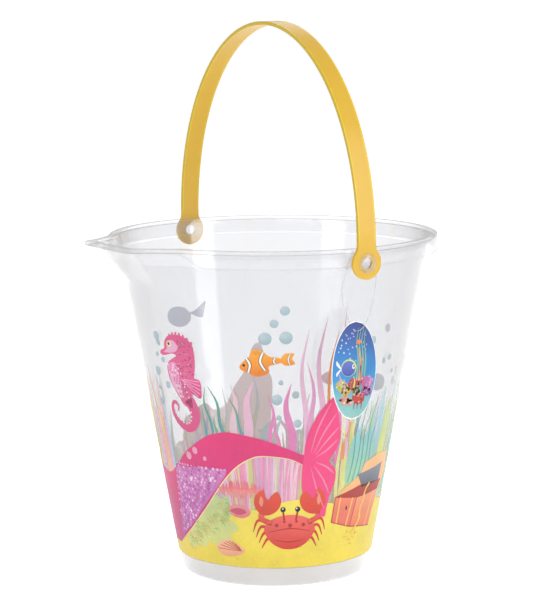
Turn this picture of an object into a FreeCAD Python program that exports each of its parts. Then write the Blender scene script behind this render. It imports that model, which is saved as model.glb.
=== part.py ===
import FreeCAD, Part
import math
import os
from FreeCAD import Vector

# Seaside sand bucket: a clear tapered pail with a pouring spout, a printed film round its wall,
# a yellow strap handle that snaps onto two studs, and an oval swing tag on a nylon loop.
# Frame: origin at the middle of the base, on the resting plane, +Z up, the spout towards -X
# and the two pivot studs on the Y axis. Millimetres throughout.

# ---- bucket shell ----
BUCKET_HEIGHT = 217.0
BASE_RADIUS = 60.0           # outside of the wall, taken down to the resting plane
MOUTH_RADIUS = 99.3          # outside of the wall, at the rim
WALL = 1.3
FLOOR = 1.8
FOOT_HEIGHT = 12.5           # the foot below the printed band
FOOT_INSET = 0.8             # how far the foot stands in from the line of the wall
FOOT_ROUND = 3.0
FOOT_ROUND_TURN = 0.3        # share of the rounding where its two slants meet
FLANGE_WIDTH = 5.7           # from the wall to the outside of the rim
FLANGE_THICKNESS = 2.4
SKIRT_DEPTH = 11.0           # from the top of the rim
SKIRT_THICKNESS = 1.4

# ---- pouring spout, u outwards along its middle line and v to each side ----
SPOUT_REACH = 16.0           # from the mouth's wall to the spout's front wall
SPOUT_FRONT_HALF = 24.0      # half width of the front wall at the rim
SPOUT_ROOT_HALF = 43.0       # half width where it leaves the round wall at the rim
SPOUT_DEPTH = 30.0           # from the rim down to where the ridges run out
SPOUT_TOE_HALF = 20.0        # half width between the ridges at the bottom
SPOUT_HEEL_HALF = 36.0       # half width of the flanks at the bottom
SPOUT_TOE_INSET = 3.0        # how far inside the wall the ridges end
SPOUT_HEEL_INSET = 8.0       # how far inside the wall the flanks end, at the bottom
SPOUT_ROOT_INSET = 10.0      # how far inside the wall the flanks end, at the rim
SPOUT_THICKENING = 0.4       # how much thicker the spout's walls are than the bucket's
SPOUT_CORNER_SHARE = 0.8     # share of an inset by which the front's corners move together
SPOUT_LIP = 6.3              # the flange's width round the spout
SPOUT_CORNER_LIP = 0.7       # share of that width past the spout's front corners
SPOUT_FLANK_ANGLE = 30.0     # where the flange starts to leave the circle, from the middle line
SKIRT_END_ANGLE = 8.0        # how far from there the skirt's slanted end reaches
SKIRT_END_SPREAD = 1.1       # width of the gap in the skirt at its bottom, by the flange's flanks
SKIRT_END_TAPER = 0.8        # width of that gap at the rim, by its width at the bottom

# ---- pivot studs ----
STUD_DROP = 8.3              # from the top of the rim down to the studs' axis
NECK_RADIUS = 3.5
HEAD_RADIUS = 6.0
HEAD_THICKNESS = 1.9
HEAD_ROUNDING = 0.6          # share of the head's thickness
EYE_GAP = 1.6                # between the skirt and the handle's eye, where the loop hangs
HEAD_CLEARANCE = 0.2         # between the eye and the head

# ---- handle ----
STRAP_WIDTH = 12.5
STRAP_THICKNESS = 2.2
EYE_RADIUS = 10.0
EYE_CLEARANCE = 0.1          # radial, on the stud's neck
LEG_LENGTH = 12.0            # straight, from the pivot up to the start of the bow
BOW_HEIGHT = 129.3           # from the legs to the middle of the strap at the top

# ---- printed film ----
FILM_THICKNESS = 0.2
FILM_GAP = 0.15
FILM_BELOW_SPOUT = 1.0

# ---- swing tag, its nylon loop and the loop's lock ----
TAG_WIDTH = 32.0
TAG_LENGTH = 60.0
TAG_THICKNESS = 0.5
TAG_HOLE_RADIUS = 2.0
TAG_HOLE_INSET = 5.2         # from the top of the card to the middle of its hole
TAG_LEAN = 3.0               # degrees, the top towards +X
TAG_HOLE_X = -5.6
TAG_IN = 1.2                 # the card hangs this much nearer to the bucket than the loop's top
TAG_HOLE_DROP = 40.5         # from the stud's axis down to the hole
THREAD_DIAMETER = 0.5
THREAD_CLEARANCE = 0.3       # from the skirt
LOCK_RADIUS = 0.9
LOCK_X = -12.5
LOCK_DROP = 2.6

CUT_PAST = 5.0               # how far a cutting shape runs past what it opens

RIM_RADIUS = MOUTH_RADIUS + FLANGE_WIDTH
TAPER = (MOUTH_RADIUS - BASE_RADIUS) / BUCKET_HEIGHT
SPOUT_BOTTOM = BUCKET_HEIGHT - SPOUT_DEPTH
STUD_HEIGHT = BUCKET_HEIGHT - STUD_DROP
FILM_TOP = SPOUT_BOTTOM - FILM_BELOW_SPOUT
EYE_INNER = RIM_RADIUS + EYE_GAP
EYE_OUTER = EYE_INNER + STRAP_THICKNESS
LOOP_PLANE = RIM_RADIUS + THREAD_CLEARANCE + THREAD_DIAMETER / 2


def wall_radius(height):
    """Outside radius of the tapered wall at a height."""
    return BASE_RADIUS + TAPER * height


def turned(points):
    """Solid of revolution about Z from a closed outline of (radius, height) points."""
    outline = Part.makePolygon([Vector(r, 0, z) for r, z in points + points[:1]])
    return Part.Face(outline).revolve(Vector(0, 0, 0), Vector(0, 0, 1), 360)


def rod(radius, start, end, side=1):
    """Round bar along Y between two distances from the middle, on the +Y or -Y side."""
    return Part.makeCylinder(radius, end - start, Vector(0, side * start, STUD_HEIGHT),
                             Vector(0, side, 0))


def between(low, high, share):
    """The value that share of the way from low to high, and past high where share is over 1."""
    return low + (high - low) * share


# ---- bucket shell ----
def spout_wedge(shrink, top, bottom):
    """The spout as a wedge between two heights; shrink moves its walls inwards."""
    def corners(height):
        share = (height - SPOUT_BOTTOM) / SPOUT_DEPTH
        toe = wall_radius(SPOUT_BOTTOM)
        front = between(toe - SPOUT_TOE_INSET, MOUTH_RADIUS + SPOUT_REACH, share) - shrink
        front_half = between(SPOUT_TOE_HALF, SPOUT_FRONT_HALF, share)
        front_half = front_half - SPOUT_CORNER_SHARE * shrink
        root = between(toe - SPOUT_HEEL_INSET, MOUTH_RADIUS - SPOUT_ROOT_INSET, share) - shrink
        root_half = between(SPOUT_HEEL_HALF, SPOUT_ROOT_HALF, share) - shrink
        plan = [(front, -front_half), (front, front_half), (root, root_half), (root, -root_half)]
        return Part.makePolygon([Vector(-u, v, height) for u, v in plan + plan[:1]])
    return Part.makeLoft([corners(bottom), corners(top)], True, True)


def flange_outline():
    """The rim's outer edge: a circle with a concave flank to each corner of the spout."""
    flank = math.radians(SPOUT_FLANK_ANGLE)
    leave_u = RIM_RADIUS * math.cos(flank)
    leave_v = RIM_RADIUS * math.sin(flank)
    corner_u = MOUTH_RADIUS + SPOUT_REACH + SPOUT_CORNER_LIP * SPOUT_LIP
    corner_v = SPOUT_FRONT_HALF + SPOUT_LIP
    front_u = MOUTH_RADIUS + SPOUT_REACH + SPOUT_LIP
    # the middle of the flank lies inside its chord, by the sag of an arc tangent to the circle
    chord = math.hypot(corner_u - leave_u, leave_v - corner_v)
    half_turn = math.radians(90) - flank - math.atan2(leave_v - corner_v, corner_u - leave_u)
    sag = chord / 2 * math.tan(half_turn / 2)
    across_u = (leave_v - corner_v) / chord
    across_v = (corner_u - leave_u) / chord
    mid_u = (leave_u + corner_u) / 2 - sag * across_u
    mid_v = (leave_v + corner_v) / 2 - sag * across_v
    far = Part.Arc(Vector(-leave_u, leave_v, 0), Vector(RIM_RADIUS, 0, 0),
                   Vector(-leave_u, -leave_v, 0))
    near_flank = Part.Arc(Vector(-leave_u, -leave_v, 0), Vector(-mid_u, -mid_v, 0),
                          Vector(-corner_u, -corner_v, 0))
    front = Part.Arc(Vector(-corner_u, -corner_v, 0), Vector(-front_u, 0, 0),
                     Vector(-corner_u, corner_v, 0))
    far_flank = Part.Arc(Vector(-corner_u, corner_v, 0), Vector(-mid_u, mid_v, 0),
                         Vector(-leave_u, leave_v, 0))
    edges = [curve.toShape() for curve in (far, near_flank, front, far_flank)]
    return Part.Face(Part.Wire(edges))


def skirt():
    """The rim's hanging edge, cut away on a slant where the spout begins."""
    bottom = BUCKET_HEIGHT - SKIRT_DEPTH
    ring = turned([(RIM_RADIUS - SKIRT_THICKNESS, bottom), (RIM_RADIUS, bottom),
                   (RIM_RADIUS, BUCKET_HEIGHT), (RIM_RADIUS - SKIRT_THICKNESS, BUCKET_HEIGHT)])
    widest = SKIRT_END_SPREAD * RIM_RADIUS * math.sin(math.radians(SPOUT_FLANK_ANGLE))
    narrowest = SKIRT_END_TAPER * widest
    behind = RIM_RADIUS * math.cos(math.radians(SPOUT_FLANK_ANGLE + SKIRT_END_ANGLE))
    corners = [Vector(-behind, -widest, bottom - 1), Vector(-behind, widest, bottom - 1),
               Vector(-behind, narrowest, BUCKET_HEIGHT), Vector(-behind, -narrowest, BUCKET_HEIGHT)]
    gate = Part.makePolygon(corners + corners[:1])
    return ring.cut(Part.Face(gate).extrude(Vector(-RIM_RADIUS, 0, 0)))


def stud(side):
    """Mushroom stud: a neck from the wall out through the skirt, and a rounded head."""
    head_start = EYE_OUTER + HEAD_CLEARANCE
    neck = rod(NECK_RADIUS, wall_radius(STUD_HEIGHT) - WALL / 2, head_start + HEAD_THICKNESS / 2, side)
    head = rod(HEAD_RADIUS, head_start, head_start + HEAD_THICKNESS, side)
    rims = [edge for edge in head.Edges
            if abs(abs(edge.CenterOfMass.y) - head_start - HEAD_THICKNESS) < 0.01]
    return neck.fuse(head.makeFillet(HEAD_ROUNDING * HEAD_THICKNESS, rims))


def make_bucket_shell():
    foot = BASE_RADIUS - FOOT_INSET
    turn = FOOT_ROUND_TURN * FOOT_ROUND
    outside = turned([(0, 0), (foot - FOOT_ROUND, 0), (foot - turn, turn),
                      (foot + TAPER * FOOT_ROUND, FOOT_ROUND),
                      (wall_radius(FOOT_HEIGHT) - FOOT_INSET, FOOT_HEIGHT),
                      (wall_radius(FOOT_HEIGHT), FOOT_HEIGHT),
                      (MOUTH_RADIUS, BUCKET_HEIGHT), (0, BUCKET_HEIGHT)])
    flange = flange_outline().extrude(Vector(0, 0, FLANGE_THICKNESS))
    flange.translate(Vector(0, 0, BUCKET_HEIGHT - FLANGE_THICKNESS))
    body = outside.multiFuse([spout_wedge(0, BUCKET_HEIGHT, SPOUT_BOTTOM),
                              flange, skirt(), stud(1), stud(-1)])
    above = BUCKET_HEIGHT + CUT_PAST
    step = FOOT_HEIGHT + WALL
    inside = turned([(0, FLOOR), (wall_radius(FLOOR) - FOOT_INSET - WALL, FLOOR),
                     (wall_radius(step) - FOOT_INSET - WALL, step),
                     (wall_radius(step + 1) - WALL, step + 1),
                     (wall_radius(above) - WALL, above), (0, above)])
    channel = spout_wedge(WALL + SPOUT_THICKENING, above, SPOUT_BOTTOM + WALL)
    return body.cut(inside.fuse(channel)).removeSplitter()


def make_printed_film():
    """Printed band round the wall, from the foot to below the spout."""
    near = FILM_GAP
    far = FILM_GAP + FILM_THICKNESS
    return turned([(wall_radius(FOOT_HEIGHT) + near, FOOT_HEIGHT),
                   (wall_radius(FOOT_HEIGHT) + far, FOOT_HEIGHT),
                   (wall_radius(FILM_TOP) + far, FILM_TOP),
                   (wall_radius(FILM_TOP) + near, FILM_TOP)])


# ---- handle ----
def bow(growth, half_width):
    """The area under the bow and its legs as a slab across X; growth moves its edge outwards."""
    span = (EYE_INNER + EYE_OUTER) / 2 + growth
    rise = BOW_HEIGHT + growth
    spring = STUD_HEIGHT + LEG_LENGTH
    oval = Part.Ellipse(Vector(0, 0, spring + rise), Vector(0, span, spring), Vector(0, 0, spring))
    arch = Part.ArcOfEllipse(oval, -math.pi / 2, math.pi / 2).toShape()
    corners = [Vector(0, span, spring), Vector(0, span, STUD_HEIGHT),
               Vector(0, -span, STUD_HEIGHT), Vector(0, -span, spring)]
    sides = [Part.makeLine(start, end) for start, end in zip(corners, corners[1:])]
    face = Part.Face(Part.Wire([arch] + sides))
    face.translate(Vector(-half_width, 0, 0))
    return face.extrude(Vector(2 * half_width, 0, 0))


def make_handle():
    """Flat strap bent into a bow, with a round eye at each end."""
    half = STRAP_THICKNESS / 2
    strap = bow(half, STRAP_WIDTH / 2).cut(bow(-half, STRAP_WIDTH))
    eyes = [rod(EYE_RADIUS, EYE_INNER, EYE_OUTER, side) for side in (1, -1)]
    holes = [rod(NECK_RADIUS + EYE_CLEARANCE, EYE_INNER - 1, EYE_OUTER + 1, side)
             for side in (1, -1)]
    return strap.multiFuse(eyes).removeSplitter().cut(holes[0]).cut(holes[1])


# ---- swing tag, its nylon loop and the loop's lock ----
def make_hang_tag():
    """Oval card, hanging by a hole near its upper end from the loop behind the near eye."""
    oval = Part.Ellipse(Vector(0, 0, 0), TAG_LENGTH / 2, TAG_WIDTH / 2)
    card = Part.Face(Part.Wire([oval.toShape()])).extrude(Vector(0, 0, TAG_THICKNESS))
    hole = Part.makeCylinder(TAG_HOLE_RADIUS, 3 * TAG_THICKNESS,
                             Vector(TAG_LENGTH / 2 - TAG_HOLE_INSET, 0, -TAG_THICKNESS))
    card = card.cut(hole)
    # stand it up by its hole: its length along Z and its faces towards -Y and +Y
    card.translate(Vector(TAG_HOLE_INSET - TAG_LENGTH / 2, 0, -TAG_THICKNESS / 2))
    card.rotate(Vector(0, 0, 0), Vector(0, 1, 0), -90)
    card.rotate(Vector(0, 0, 0), Vector(0, 0, 1), 90)
    card.rotate(Vector(0, 0, 0), Vector(0, 1, 0), TAG_LEAN)
    card.translate(Vector(TAG_HOLE_X, TAG_IN - LOOP_PLANE, STUD_HEIGHT - TAG_HOLE_DROP))
    return card


# The loop's route from the top of its lock over the stud's neck, down to the tag's hole, through
# it from front to back, and up again: (across, outwards from the loop's plane, above the stud).
LOOP_ROUTE = [(-12.4, 0.0, -1.9), (-11.4, 0.0, 1.4), (-8.2, 0.0, 4.0), (-3.6, 0.0, 4.2),
              (2.4, 0.0, 4.2), (6.6, 0.0, 1.4), (8.6, -0.1, -4.6), (8.8, -0.4, -13.6),
              (6.6, -0.6, -24.6), (2.8, -0.4, -35.6), (-2.4, -0.2, -41.2), (-6.0, -1.3, -41.3),
              (-8.4, -2.3, -37.9), (-11.4, -1.9, -31.6), (-15.0, -1.0, -23.2),
              (-16.0, -0.5, -14.0), (-13.6, -0.1, -7.2), (-12.6, 0.0, -3.4)]
LOOP_RUN_SHARE = 0.45


def loop_path():
    """Straight runs joined by tangent arcs, each as large as its two runs allow."""
    points = [Vector(x, -LOOP_PLANE - out, STUD_HEIGHT + up) for x, out, up in LOOP_ROUTE]
    edges = []
    radii = []
    start = points[0]
    for before, corner, after in zip(points, points[1:], points[2:]):
        arriving = corner - before
        leaving = after - corner
        half_turn = arriving.getAngle(leaving) / 2
        setback = LOOP_RUN_SHARE * min(arriving.Length, leaving.Length)
        radii.append(setback / math.tan(half_turn))
        arriving.normalize()
        leaving.normalize()
        arc_start = corner - arriving * setback
        arc_end = corner + leaving * setback
        inward = leaving - arriving
        inward.normalize()
        # the arc's middle lies this far inside the corner, towards the arc's centre
        depth = radii[-1] * (1 / math.cos(half_turn) - 1)
        edges.append(Part.makeLine(start, arc_start))
        edges.append(Part.Arc(arc_start, corner + inward * depth, arc_end).toShape())
        start = arc_end
    edges.append(Part.makeLine(start, points[-1]))
    print("loop radii", [round(radius, 1) for radius in radii])
    return Part.Wire(edges)


def make_tag_loop():
    path = loop_path()
    along = path.Edges[0].tangentAt(path.Edges[0].FirstParameter)
    section = Part.Wire([Part.makeCircle(THREAD_DIAMETER / 2, path.Edges[0].Vertexes[0].Point, along)])
    tube = path.makePipeShell([section], True, False)
    area = math.pi * THREAD_DIAMETER ** 2 / 4
    print("loop length", round(path.Length, 1), "volume against section times length",
          round(tube.Volume / (area * path.Length), 4))
    return tube


def make_tag_lock():
    """Bead that both ends of the loop go into."""
    return Part.makeSphere(LOCK_RADIUS, Vector(LOCK_X, -LOOP_PLANE, STUD_HEIGHT - LOCK_DROP))


NODES = {
    "bucket_shell": make_bucket_shell,
    "printed_film": make_printed_film,
    "handle": make_handle,
    "hang_tag": make_hang_tag,
    "tag_loop": make_tag_loop,
    "tag_lock": make_tag_lock,
}

os.makedirs("parts", exist_ok=True)
for node, make in NODES.items():
    shape = make()
    if shape.ShapeType == "Compound" and len(shape.Solids) == 1:
        shape = shape.Solids[0]
    box = shape.BoundBox
    print(node, "valid", shape.isValid(), "solids", len(shape.Solids), "volume", round(shape.Volume),
          "X", round(box.XMin, 1), round(box.XMax, 1), "Y", round(box.YMin, 1), round(box.YMax, 1),
          "Z", round(box.ZMin, 1), round(box.ZMax, 1))
    shape.exportStep("parts/" + node + ".step")
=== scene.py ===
import bisect
import math
import random

import bmesh
import bpy
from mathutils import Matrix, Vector
from mathutils.geometry import tessellate_polygon


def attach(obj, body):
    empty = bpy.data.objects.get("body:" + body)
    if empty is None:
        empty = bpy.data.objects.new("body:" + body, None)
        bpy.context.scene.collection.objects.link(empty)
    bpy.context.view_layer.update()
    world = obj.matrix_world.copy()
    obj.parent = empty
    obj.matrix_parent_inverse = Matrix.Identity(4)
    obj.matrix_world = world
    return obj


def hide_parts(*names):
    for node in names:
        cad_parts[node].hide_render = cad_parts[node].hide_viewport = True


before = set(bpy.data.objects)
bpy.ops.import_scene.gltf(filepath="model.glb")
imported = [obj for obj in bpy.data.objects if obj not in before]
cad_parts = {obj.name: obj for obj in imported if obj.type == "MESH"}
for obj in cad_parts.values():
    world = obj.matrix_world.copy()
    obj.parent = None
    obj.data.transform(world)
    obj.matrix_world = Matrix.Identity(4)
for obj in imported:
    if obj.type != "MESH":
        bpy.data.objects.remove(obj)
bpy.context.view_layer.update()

# Seaside sand bucket: a clear tapered pail with a pouring spout, a printed sea floor round it,
# a yellow strap handle on two studs, and an oval swing tag on a nylon loop.
# Lengths below are millimetres, angles degrees. MM brings a length into the scene's metres.
MM = 0.001

# ---- the pail, as in the CAD frame ----
HEIGHT = 217.0
BASE_RADIUS = 60.0
TAPER = 0.18111
WALL = 1.3
FLOOR = 1.8
FOOT_HEIGHT = 12.5
RIM_RADIUS = 105.0
FLANGE_THICKNESS = 2.4
SKIRT_THICKNESS = 1.4
SKIRT_BOTTOM = 206.0
SPOUT_BOTTOM = 187.0
SPOUT_FRONT = (90.9, 115.3)          # the spout's front, at its bottom and at the rim
SPOUT_FRONT_HALF = (20, 24)          # half its width there
SPOUT_ROOT = (85.9, 89.3)            # where its flanks leave the round wall
SPOUT_ROOT_HALF = (36, 43)
SPOUT_ROUNDING = 2.5                 # of the corners of the spout's front
SPOUT_BLEND = 1.6                    # of the crease between the spout and the wall
SPOUT_THICKENING = 0.3
LIP_START = 30                       # degrees from the spout's middle where the rim sweeps out
LIP_TURN = 15.8                      # degrees over which it does
LIP_REACH = 18.5
LIP_FRONT = 121.5
STUD_HEIGHT = 208.7
SPAN = 107.7                 # from the middle of the pail to the middle of the strap at its eyes

# ---- the print: its drawing is laid out flat, then wrapped round the wall ----
LABEL_TURN = -31.5           # where the middle of the drawing faces
DEGREE = 1.5                 # width on the flat drawing of one degree round the wall
STRIP = 3.0                  # upright cuts in the flat drawing, so that it can follow the wall
INK = 0.03                   # thickness of one layer of ink
LAYER = 0.05                 # from one layer of ink to the next
FIRST_LAYER = 0.12           # from the wall to the first layer


def wall_radius(height):
    """Outside radius of the tapered wall at a height."""
    return BASE_RADIUS + TAPER * height


def between(low, high, share):
    return low + (high - low) * share


def eased(share):
    """A share held between 0 and 1, with soft ends."""
    held = min(1.0, max(0.0, share))
    return held * held * (3 - 2 * held)


def soft_min(first, second, reach):
    """The smaller of two values, with the crease between them rounded over a reach."""
    near = max(reach - abs(first - second), 0.0) / reach
    return min(first, second) - near * near * reach / 4


def soft_max(first, second, reach):
    return -soft_min(-first, -second, reach)


# ---- material maths ----
class Wire:
    """One output of a material node. Maths written on it adds Math nodes."""

    def __init__(self, paint, socket):
        self.paint = paint
        self.socket = socket

    def math(self, operation, first, second=0.0):
        return self.paint.node("ShaderNodeMath", {"operation": operation}, {0: first, 1: second})

    def __add__(self, other):
        return self.math("ADD", self, other)

    def __mul__(self, other):
        return self.math("MULTIPLY", self, other)

    def __sub__(self, other):
        return self.math("SUBTRACT", self, other)

    def __rsub__(self, other):
        return self.math("SUBTRACT", other, self)

    def __pow__(self, other):
        return self.math("POWER", self, other)

    def __lt__(self, other):
        return self.math("LESS_THAN", self, other)

    __radd__ = __add__
    __rmul__ = __mul__


class Paint:
    """A material built up from nodes."""

    def __init__(self, name):
        self.material = bpy.data.materials.new(name)
        self.material.use_nodes = True
        self.tree = self.material.node_tree
        self.tree.nodes.clear()

    def node(self, kind, settings=None, values=None, out=0):
        """Adds a node, with its settings first and then the values or links of its sockets."""
        made = self.tree.nodes.new(kind)
        for name, value in (settings or {}).items():
            setattr(made, name, value)
        for name, value in (values or {}).items():
            if isinstance(value, Wire):
                self.tree.links.new(value.socket, made.inputs[name])
            else:
                made.inputs[name].default_value = value
        return Wire(self, made.outputs[out]) if made.outputs else None

    def place(self):
        return self.node("ShaderNodeTexCoord", out=3)

    def height(self):
        """Height above the floor in metres."""
        return self.node("ShaderNodeSeparateXYZ", values={0: self.place()}, out=2)

    def noise(self, scale, detail=2.0, place=None):
        values = {"Vector": place or self.place(), "Scale": scale, "Detail": detail}
        return self.node("ShaderNodeTexNoise", values=values)

    def stretched(self, scale):
        """Object coordinates scaled by its own amount along each axis."""
        return self.node("ShaderNodeMapping", values={"Vector": self.place(), "Scale": scale})

    def mix(self, share, first, second):
        return self.node("ShaderNodeMix", {"data_type": "RGBA"}, {0: share, 6: first, 7: second}, out=2)

    def shaded(self, share, colour):
        """A colour multiplied by a grey value."""
        grey = self.node("ShaderNodeCombineColor", values={0: share, 1: share, 2: share})
        settings = {"data_type": "RGBA", "blend_type": "MULTIPLY"}
        return self.node("ShaderNodeMix", settings, {0: 1.0, 6: colour, 7: grey}, out=2)

    def bump(self, value, distance, strength=1.0):
        values = {"Height": value, "Distance": distance, "Strength": strength}
        return self.node("ShaderNodeBump", values=values)

    def surface(self, **values):
        return self.node("ShaderNodeBsdfPrincipled",
                         values={name.replace("_", " "): value for name, value in values.items()})

    def finish(self, shader):
        self.node("ShaderNodeOutputMaterial", values={0: shader})
        return self.material


def tone(red, green, blue, cover=1.0):
    """A colour given from 0 to 255, as linear light, and how much it covers."""
    def linear(channel):
        share = channel / 255
        return share / 12.92 if share <= 0.04045 else ((share + 0.055) / 1.055) ** 2.4
    return (linear(red), linear(green), linear(blue), cover)


def blended(first, second, share):
    return tuple(between(low, high, share) for low, high in zip(first, second))


# ---- materials ----
def clear_plastic():
    """Clear moulded plastic with a cold tint, milky in its thick foot."""
    paint = Paint("clear_plastic")
    facing = paint.node("ShaderNodeLayerWeight", values={"Blend": 0.5}, out=1)
    height = paint.height()
    foot = height < FOOT_HEIGHT * MM
    rim = 1.0 - (height < (SKIRT_BOTTOM - 0.1) * MM)
    cloud = paint.noise(30.0, 3.0)
    flow = paint.noise(9.0, 2.0, paint.stretched((1.0, 1.0, 0.15)))
    ripple = paint.bump(flow + 0.15 * cloud, 0.0012, 0.35)
    haze = 0.045 + 0.04 * cloud + 0.5 * facing ** 3.0 + foot * (0.42 + 0.16 * cloud) - 0.025 * rim
    wall_clear = paint.node("ShaderNodeBsdfTransparent", values={0: (0.922, 0.924, 0.932, 1)})
    rim_clear = paint.node("ShaderNodeBsdfTransparent", values={0: (0.96, 0.961, 0.967, 1)})
    clear = paint.node("ShaderNodeMixShader", values={0: rim, 1: wall_clear, 2: rim_clear})
    cast = paint.mix(foot, tone(203, 201, 200), tone(221, 220, 220))
    milk = paint.surface(Base_Color=cast, Roughness=0.35, Normal=ripple)
    body = paint.node("ShaderNodeMixShader", values={0: haze, 1: clear, 2: milk})
    gloss = paint.node("ShaderNodeBsdfGlossy",
                       values={0: (1, 1, 1, 1), "Roughness": 0.08, "Normal": ripple})
    shine = 0.045 + 0.7 * facing ** 5.0
    return paint.finish(paint.node("ShaderNodeMixShader", values={0: shine, 1: body, 2: gloss}))


def yellow_plastic():
    """Satin yellow plastic, a little translucent, with flow marks along the strap.
    Over the top of the bow its edges carry a painted highlight and its sides painted shade.
    """
    paint = Paint("yellow_plastic")
    cloud = paint.noise(22.0, 3.0)
    flow = paint.noise(60.0, 3.0, paint.stretched((1.0, 0.12, 0.12)))
    grain = paint.noise(900.0, 2.0)
    middle = paint.mix(0.25 + 0.5 * cloud, tone(211, 165, 40), tone(219, 181, 62))
    across = paint.node("ShaderNodeSeparateXYZ", values={0: paint.place()})
    from_middle = paint.node("ShaderNodeMath", {"operation": "ABSOLUTE"}, {0: across})
    # Painted light: above this height a brighter edge colour stands for a highlight, and darker sides
    # stand for shade.
    strap = 1.0 - (paint.height() < PAINTED_EDGES_START * MM)
    rib = strap * (1.0 - (from_middle < EDGE_HIGHLIGHT_START * MM))
    side = strap * (1.0 - (from_middle < SIDE_SHADE_START * MM))
    # painted highlight along the edges, then painted shade on the sides
    colour = paint.mix(rib, middle, tone(222, 190, 44))
    colour = paint.shaded(0.9 + 0.12 * flow - 0.22 * side, colour)
    normal = paint.bump(0.7 * flow + 0.3 * grain, 0.0001, 0.4)
    return paint.finish(paint.surface(
        Base_Color=colour, Roughness=0.32 + 0.12 * cloud, Normal=normal, Coat_Weight=0.18,
        Specular_IOR_Level=0.35, Coat_Roughness=0.12, Subsurface_Weight=0.25,
        Subsurface_Radius=(0.004, 0.003, 0.001)))


def printing_ink(name, pale):
    """Ink in each shape's own colour. pale is how much of its white backing shows, partly its own paler
    colour and partly lightened as painted light, and how strongly it glows: a painted glow for light
    shining through the print.
    """
    paint = Paint(name)
    colour = paint.node("ShaderNodeVertexColor", {"layer_name": "ink"})
    cover = paint.node("ShaderNodeVertexColor", {"layer_name": "ink"}, out=1)
    wash = paint.noise(45.0, 4.0)
    grain = paint.noise(420.0, 2.0)
    shade = 0.64 + 0.24 * wash + 0.1 * grain
    toned = paint.mix(pale, paint.shaded(shade, colour), tone(232, 221, 221))
    normal = paint.bump(grain, 0.0001, 0.3)
    return paint.finish(paint.surface(
        Base_Color=toned, Roughness=0.36 + 0.12 * wash, Normal=normal,
        # Painted light: the backing's emission stands for light that shines through the print from
        # outside.
        Emission_Color=toned, Emission_Strength=0.7 * pale,
        Alpha=cover * (0.8 + 0.4 * wash)))


def tag_board():
    """White coated card, with faint fibres."""
    paint = Paint("tag_board")
    fibre = paint.noise(700.0, 4.0, paint.stretched((1.0, 1.0, 0.3)))
    colour = paint.shaded(0.94 + 0.08 * fibre, tone(246, 246, 244))
    return paint.finish(paint.surface(
        Base_Color=colour, Roughness=0.4 + 0.15 * fibre, Normal=paint.bump(fibre, 0.0001, 0.4)))


def nylon():
    """Clear nylon thread, seen mostly by its edges."""
    paint = Paint("nylon")
    facing = paint.node("ShaderNodeLayerWeight", values={"Blend": 0.5}, out=1)
    cloud = paint.noise(300.0, 2.0)
    colour = paint.shaded(0.9 + 0.15 * cloud, tone(206, 208, 214))
    return paint.finish(paint.surface(
        Base_Color=colour, Roughness=0.2 + 0.1 * cloud, Alpha=0.42 + 0.4 * facing))


# ---- making pieces ----
def only(piece):
    """Selects this piece alone and makes it active."""
    bpy.ops.object.select_all(action="DESELECT")
    piece.select_set(True)
    bpy.context.view_layer.objects.active = piece


def edit(piece):
    only(piece)
    bpy.ops.object.mode_set(mode="EDIT")
    bpy.ops.mesh.select_all(action="SELECT")


def leave():
    bpy.ops.object.mode_set(mode="OBJECT")


def apply_place(piece):
    only(piece)
    bpy.ops.object.transform_apply(location=True, rotation=True, scale=True)


def modify(piece, kind, **settings):
    """Adds a modifier and applies it."""
    only(piece)
    change = piece.modifiers.new(kind.title(), kind)
    for name, value in settings.items():
        setattr(change, name, value)
    bpy.ops.object.modifier_apply(modifier=change.name)


def settle(piece, name, body, materials, node, smooth=35):
    """Names a finished piece, gives it its materials, hides the CAD node it stands in for and puts it
    on the body it rides on.
    """
    piece.name = name
    piece.data.name = name
    piece.data.materials.clear()
    for material in materials:
        piece.data.materials.append(material)
    if smooth:
        only(piece)
        bpy.ops.object.shade_smooth_by_angle(angle=math.radians(smooth))
    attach(piece, body)
    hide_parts(node)
    return piece


def object_from(name, points, faces):
    mesh = bpy.data.meshes.new(name)
    mesh.from_pydata(points, [], faces)
    piece = bpy.data.objects.new(name, mesh)
    bpy.context.collection.objects.link(piece)
    return piece


def lathe(outline, steps):
    """Rings drawn one from the next through (radius, height) points, closed at both ends."""
    radius, height = outline[0]
    bpy.ops.object.select_all(action="DESELECT")
    bpy.ops.mesh.primitive_circle_add(vertices=steps, radius=radius * MM, location=(0, 0, height * MM))
    piece = bpy.context.object
    apply_place(piece)
    edit(piece)
    for (last_radius, last_height), (radius, height) in zip(outline, outline[1:]):
        rise = (height - last_height) * MM
        bpy.ops.mesh.extrude_region_move(TRANSFORM_OT_translate={"value": (0, 0, rise)})
        growth = radius / last_radius
        bpy.ops.transform.resize(value=(growth, growth, 1), center_override=(0, 0, 0))
    bpy.ops.mesh.edge_face_add()
    bpy.ops.mesh.select_all(action="DESELECT")
    bpy.ops.mesh.select_mode(type="EDGE")
    bpy.ops.mesh.select_non_manifold()
    bpy.ops.mesh.edge_face_add()
    bpy.ops.mesh.select_all(action="SELECT")
    bpy.ops.mesh.normals_make_consistent(inside=False)
    bpy.ops.mesh.select_mode(type="VERT")
    leave()
    return piece


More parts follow.
